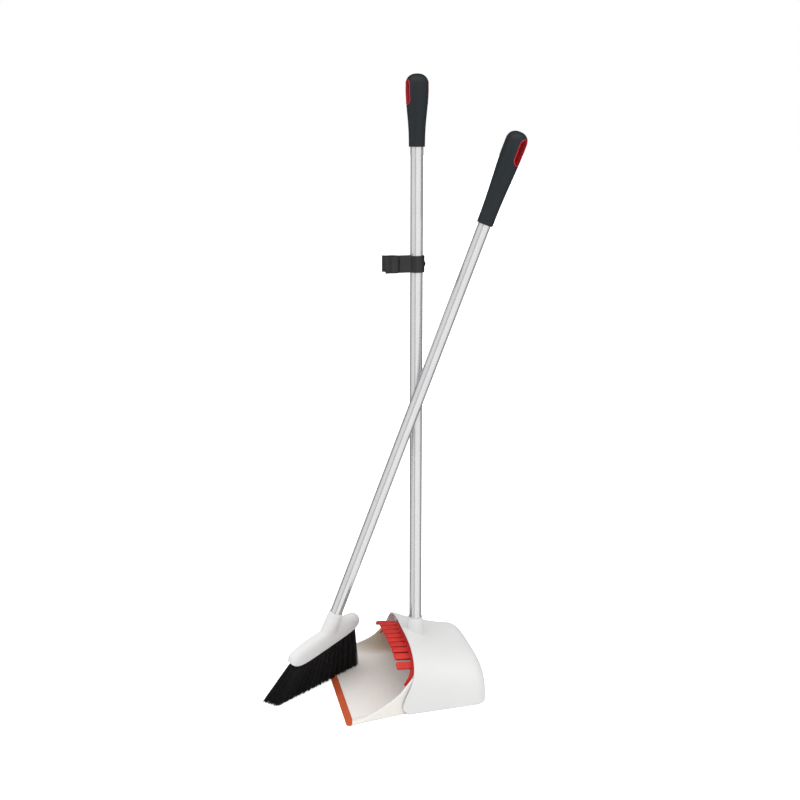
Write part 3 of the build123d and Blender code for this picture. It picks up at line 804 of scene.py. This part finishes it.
def build_liner(name, spec, place=None):
    """Ring of red plastic in the slot, standing a hair proud of the grip with a round edge."""
    outer = slot_outline(SLOT_W + 0.2, spec["slot_h"] + 0.2)
    inner = slot_outline(SLOT_W - 2 * LINER_T, spec["slot_h"] - 2 * LINER_T)
    rings = []
    for (xo, zo), (xi, zi) in zip(outer, inner):
        ring = []
        for sign in (-1, 1):
            arc = []
            for k in range(7):
                share = k / 6
                x = xo + (xi - xo) * share
                z = zo + (zi - zo) * share
                r = grip_radius(spec, spec["slot_z"] + z)
                y = sqrt(max(r * r - x * x, 1.0)) + LINER_PROUD - LINER_ROUND * abs(2 * share - 1) ** 3
                arc.append((x, sign * y, spec["slot_z"] + z))
            ring += arc if sign < 0 else arc[::-1]
        rings.append(ring)
    rings.append(rings[0])
    points = [p for ring in rings for p in ring]
    turned = (place or Matrix()) @ Matrix.Rotation(radians(spec["turn"]), 4, "Z")
    return new_object(name, points, grid_faces(len(rings), len(rings[0]), wrap=True), turned)


# ---------------------------------------------------------------- broom
def scaled(place):
    """The same placement for points that are already in metres."""
    result = place.copy()
    result.translation = place.translation * MM
    return result


def broom_matrix():
    """The broom's frame: its tube leans so that it just clears the dustpan's."""
    reach, clear = hypot(FOOT.x, FOOT.y), 2 * TUBE_R + TUBE_GAP
    run = sqrt(reach ** 2 - clear ** 2)
    heading = atan2(-FOOT.y, -FOOT.x) - asin(clear / reach)
    up = Vector((run * cos(heading), run * sin(heading), TOUCH_Z)).normalized()
    across = (HEADING - up * HEADING.dot(up)).normalized()
    depth = up.cross(across)
    place = Matrix((across, depth, up)).transposed().to_4x4()
    place.translation = FOOT
    return place


BROOM = broom_matrix()
HEAD = BROOM @ Matrix.Translation((0, 0, HEAD_Z)) @ Matrix.Rotation(radians(-HEAD_TILT), 4, "Y")


def head_ring(x, count=48):
    """Flat-bottomed arch across the head at x."""
    share = (1 - min(abs(x / HEAD_HALF_L), 0.9999) ** END_POWER) ** (1 / END_POWER)
    lift = END_LIFT * abs(x / HEAD_HALF_L) ** 8
    ring = []
    for i in range(count):
        y, z = arch_xz(HEAD_HALF_T * share, HEAD_H * share - lift, 2.6, pi * i / (count - 1))
        ring.append((x, y, z + lift))
    return ring


def ellipse_ring(centre, rx, ry, tilt, count=48):
    """Ellipse round (x, z), tilted about Y."""
    ring = []
    for i in range(count):
        a = 2 * pi * i / count
        x, y = rx * cos(a), ry * sin(a)
        ring.append((centre[0] + x * cos(tilt), y, centre[1] + x * sin(tilt)))
    return ring


# Neck from the bar upwards: centre along the head and above its underside, two radii, tilt in degrees
NECK_LEVELS = [
    (7, 12, 27, 10.5, HEAD_TILT),
    (2.6, 21, 20.5, 11.3, 17),
    (-1, 31, 14, 12, 10),
    (-1.2, 41, 12.2, 11.9, 3),
    (0, 50, 11.7, 11.7, 0),
    (0, NECK_TOP - HEAD_Z, NECK_R, NECK_R, 0),
]


def neck_ring(level):
    x, z, rx, ry, tilt = level
    return ellipse_ring((x, z + HEAD_Z), rx, ry, radians(tilt))


def build_head():
    """Bar and neck melted together into one soft moulding."""
    turns = [sin(radians(a)) for a in range(-88, 89, 4)]
    bar = loft_solid("head_bar", [head_ring(HEAD_HALF_L * t) for t in turns], HEAD)
    steps = 6
    rings = []
    for low, high in zip(NECK_LEVELS, NECK_LEVELS[1:]):
        for k in range(steps):
            rings.append(neck_ring([a + (b - a) * k / steps for a, b in zip(low, high)]))
    rings.append(neck_ring(NECK_LEVELS[-1]))
    head = join("head", [bar, loft_solid("head_neck", rings, BROOM)])
    return melt(head, 0.85, 14)


def ground(y):
    """Height that a bristle's tip rests at: the floor, the lip's slope or the tray's floor."""
    if y < LIP_Y:
        return 0.6
    if y < -126:
        return 0.8 + 3.0 * (y - LIP_Y) / 8.5
    return 3.8 if y < LIP_BACK else 3.0


def filament(root, direction, side, length, bow):
    """Centre line of one filament, cut off where it meets the ground."""
    steps = 5
    shares = [k / steps for k in range(steps + 1)]
    line = [root + direction * (length * t) + side * (bow * t * t) for t in shares]
    cut = [line[0]]
    for a, b in zip(line, line[1:]):
        low = ground(b.y)
        if b.z < low:
            share = (a.z - low) / max(a.z - b.z, 1e-6)
            cut.append(a + (b - a) * max(share, 0.05))
            break
        cut.append(b)
    return cut


def random_filament(x0, y0, fan, splay):
    """One filament of the tuft rooted at (x0, y0) under the head, a little off the tuft's own lean."""
    turn = HEAD.to_3x3()
    rho, phi = sqrt(random.random()), random.uniform(0, 2 * pi)
    rx, ry = rho * cos(phi), rho * sin(phi)
    root = HEAD @ Vector((x0 + 2.9 * rx, y0 + 2.7 * ry, -0.4))
    f = fan - rx * radians(3.4) + random.gauss(0, radians(1.1))
    s = splay + ry * radians(2.8) + random.gauss(0, radians(1.0))
    direction = turn @ Vector((-sin(f), cos(f) * sin(s), -cos(f) * cos(s)))
    side = turn @ Vector((random.gauss(-0.5, 1), random.gauss(0, 1), 0)).normalized()
    stray = random.random() < 0.016
    bow = random.gauss(0, 5.0) if stray else random.gauss(0, 0.9)
    line = filament(root, direction, side, random.uniform(83, 92), bow)
    if random.random() < 0.55:
        line[-1] = line[-1] + (line[-2] - line[-1]) * random.uniform(0.0, 0.10)
    return line


def build_bristles(name, row):
    """One row of tufts, filament by filament; row is -1 at the back, 1 at the front."""
    points = []
    faces = []
    for column in range(TUFT_COLUMNS):
        share = column / (TUFT_COLUMNS - 1)
        x0 = (share - 0.5) * 2 * (BLOCK_HALF_L - 4.5)
        fan = radians(FAN_LOW + (FAN_HIGH - FAN_LOW) * share)
        for _ in range(FILAMENTS):
            add_hair(points, faces, random_filament(x0, row * ROW_PITCH, fan, radians(row * ROW_SPLAY)))
    mesh = bpy.data.meshes.new(name)
    mesh.from_pydata([(p.x * MM, p.y * MM, p.z * MM) for p in points], [], faces)
    mesh.shade_smooth()
    obj = bpy.data.objects.new(name, mesh)
    bpy.context.scene.collection.objects.link(obj)
    return obj


def add_hair(points, faces, line):
    """Three-sided tapering tube along a line."""
    axis = (line[-1] - line[0]).normalized()
    u = axis.orthogonal().normalized()
    v = axis.cross(u)
    start = len(points)
    for k, p in enumerate(line):
        r = HAIR_ROOT_R + (HAIR_TIP_R - HAIR_ROOT_R) * k / (len(line) - 1)
        for i in range(3):
            a = 2 * pi * i / 3
            points.append(p + u * (r * cos(a)) + v * (r * sin(a)))
    faces.extend(grid_faces(len(line), 3, wrap=True, start=start))
    faces.append((start + 2, start + 1, start))
    end = len(points)
    faces.append((end - 3, end - 2, end - 1))


# ---------------------------------------------------------------- assembly
def build_tube(name, ends, place=None):
    """Thin tube with softened outer edges."""
    low, high = ends
    inner = TUBE_R - TUBE_WALL
    soft = 0.2
    bore = [(inner, low), (inner, high)]
    outside = [(TUBE_R - soft, high), (TUBE_R, high - soft), (TUBE_R, low + soft), (TUBE_R - soft, low)]
    return lathe(name, bore + outside + bore[:1], place=place)


def wear(node_name, material):
    """Give a CAD node that stays in the picture its procedural material."""
    mesh = NODES[node_name].data
    mesh.materials.clear()
    mesh.materials.append(material)


def build_dustpan():
    hood = join("hood", [hood_shell(), hood_rib()] + socket())
    settle(hood, "dustpan", "white", "bin_hood")
    settle(build_tray(), "dustpan", "tray", "pan_tray")
    settle(build_lip(), "dustpan", "lip", "lip_strip")
    settle(build_tube("upright_tube", PAN_TUBE), "dustpan", "tube", "pan_tube")
    settle(build_grip("pan_handle_grip", PAN_GRIP), "dustpan", "grip", "pan_grip")
    settle(build_liner("pan_slot_liner", PAN_GRIP), "dustpan", "liner", "pan_hang_liner")


def build_broom():
    tube = build_tube("leaning_tube", BROOM_TUBE, BROOM)
    grip = build_grip("broom_handle_grip", BROOM_GRIP, BROOM)
    liner = build_liner("broom_slot_liner", BROOM_GRIP, BROOM)
    settle(tube, "broom", "tube", "broom_tube")
    settle(grip, "broom", "grip", "broom_grip")
    settle(liner, "broom", "liner", "broom_hang_liner")
    settle(build_head(), "broom", "white", "broom_head")
    for row, node_name in ((-1, "bristles_back"), (0, "bristles_middle"), (1, "bristles_front")):
        tufts = build_bristles(node_name + "_filaments", row)
        settle(tufts, "broom", "bristle", node_name)


build_dustpan()
build_broom()
for material_name, node_names in KEPT_NODES.items():
    for kept_name in node_names:
        wear(kept_name, MATERIALS[material_name])
NODES["bristle_comb"].visible_glossy = False     # a satin tube would not mirror it this clearly


# ---------------------------------------------------------------- stage, light and camera
FLOOR_HALF = 40.0                  # metres, so that its edge lies beyond the horizon
TO_CAMERA = (0.9726, -0.2326, 0.0)
TO_RIGHT = (0.2326, 0.9726, 0.0)
# Brightness that shiny surfaces reflect, round the horizon: 0.5 is towards the camera
SOFTBOXES = [(0.0, 0.12), (0.20, 0.20), (0.26, 0.72), (0.40, 0.72), (0.425, 0.34),
             (0.45, 0.34), (0.48, 0.95), (0.72, 0.88), (0.76, 0.22), (1.0, 0.12)]
SKY_LOW = 0.47                     # light from the horizon and from overhead
SKY_HIGH = 1.05
CAMERA_AT = (1.593, -0.3809, 0.8681)
CAMERA_AZIMUTH = radians(77.41)
CAMERA_PITCH = radians(13.71)


def build_stage():
    """Pale floor that looks as bright as the backdrop and leaves shiny pieces to the softboxes."""
    mesh = bpy.data.meshes.new("floor")
    corners = [(x * FLOOR_HALF, y * FLOOR_HALF, 0) for x, y in ((-1, -1), (1, -1), (1, 1), (-1, 1))]
    mesh.from_pydata(corners, [], [(0, 1, 2, 3)])
    floor = bpy.data.objects.new("floor", mesh)
    bpy.context.scene.collection.objects.link(floor)
    s = Shader("studio_floor")
    s.put("Base Color", (0.93, 0.93, 0.93, 1))
    s.put("Roughness", 0.8)
    s.put("Emission Color", (1, 1, 1, 1))
    seen = s.tree.nodes.new("ShaderNodeLightPath").outputs["Is Camera Ray"]
    s.put("Emission Strength", s.ramp(seen, 0.0, 1.0, 0.10, 0.60))
    mesh.materials.append(s.material)
    floor.visible_glossy = False


def sky_level(tree, direction):
    """Strength of the dome: brighter overhead."""
    upward = tree.nodes.new("ShaderNodeSeparateXYZ")
    tree.links.new(direction, upward.inputs[0])
    return map_range(tree, upward.outputs["Z"], 0.0, 1.0, SKY_LOW, SKY_HIGH)


def softbox_colour(tree, direction):
    """Brightness by bearing: tall softboxes round the object, with dark gaps between them."""
    bearing = tree.nodes.new("ShaderNodeMath")
    bearing.operation = "ARCTAN2"
    for axis, socket in zip((TO_RIGHT, TO_CAMERA), bearing.inputs):
        dot = tree.nodes.new("ShaderNodeVectorMath")
        dot.operation = "DOT_PRODUCT"
        dot.inputs[1].default_value = axis
        tree.links.new(direction, dot.inputs[0])
        tree.links.new(dot.outputs["Value"], socket)
    ramp = tree.nodes.new("ShaderNodeValToRGB")
    tree.links.new(map_range(tree, bearing.outputs[0], -pi, pi, 0.0, 1.0), ramp.inputs["Fac"])
    elements = ramp.color_ramp.elements
    while len(elements) < len(SOFTBOXES):
        elements.new(0.5)
    for element, (position, level) in zip(elements, SOFTBOXES):
        element.position = position
        element.color = (level, level, level, 1)
    return ramp.outputs["Color"]


def background(tree):
    node = tree.nodes.new("ShaderNodeBackground")
    node.inputs["Color"].default_value = (1, 1, 1, 1)
    return node


def choose(tree, test, otherwise, chosen):
    """The chosen node's light where test is 1, the other's where it is 0."""
    node = tree.nodes.new("ShaderNodeMixShader")
    tree.links.new(test, node.inputs[0])
    tree.links.new(otherwise.outputs[0], node.inputs[1])
    tree.links.new(chosen.outputs[0], node.inputs[2])
    return node


def build_world():
    """White to the camera, a soft dome for the light, softboxes in reflections."""
    world = bpy.data.worlds.new("studio")
    world.use_nodes = True
    tree = world.node_tree
    tree.nodes.clear()
    direction = tree.nodes.new("ShaderNodeTexCoord").outputs["Generated"]
    rays = tree.nodes.new("ShaderNodeLightPath").outputs
    dome = background(tree)
    tree.links.new(sky_level(tree, direction), dome.inputs["Strength"])
    mirrored = background(tree)
    tree.links.new(softbox_colour(tree, direction), mirrored.inputs["Color"])
    lit = choose(tree, rays["Is Glossy Ray"], dome, mirrored)
    seen = choose(tree, rays["Is Camera Ray"], lit, background(tree))
    out = tree.nodes.new("ShaderNodeOutputWorld")
    tree.links.new(seen.outputs[0], out.inputs["Surface"])
    bpy.context.scene.world = world


def aim(obj, direction):
    """Point a light or camera along a direction."""
    obj.rotation_mode = "QUATERNION"
    obj.rotation_quaternion = Vector(direction).to_track_quat("-Z", "Y")
    bpy.context.scene.collection.objects.link(obj)


def add_sun(name, toward, strength, softness):
    """Soft distant light that comes from the direction `toward`."""
    data = bpy.data.lights.new(name, "SUN")
    data.energy = strength
    data.angle = radians(softness)
    aim(bpy.data.objects.new(name, data), -Vector(toward))


def build_camera():
    data = bpy.data.cameras.new("camera")
    data.sensor_width = 36.0
    data.lens = 49.5
    camera = bpy.data.objects.new("camera", data)
    camera.location = CAMERA_AT
    level = cos(CAMERA_PITCH)
    aim(camera, (-sin(CAMERA_AZIMUTH) * level, cos(CAMERA_AZIMUTH) * level, -sin(CAMERA_PITCH)))
    bpy.context.scene.camera = camera


build_stage()
build_world()
add_sun("key", (0.45, -0.50, 1.0), 1.00, 60)
add_sun("fill", (0.5, 0.60, 1.0), 0.45, 60)
build_camera()
bpy.context.scene.view_settings.view_transform = "Standard"
bpy.context.scene.view_settings.look = "None"
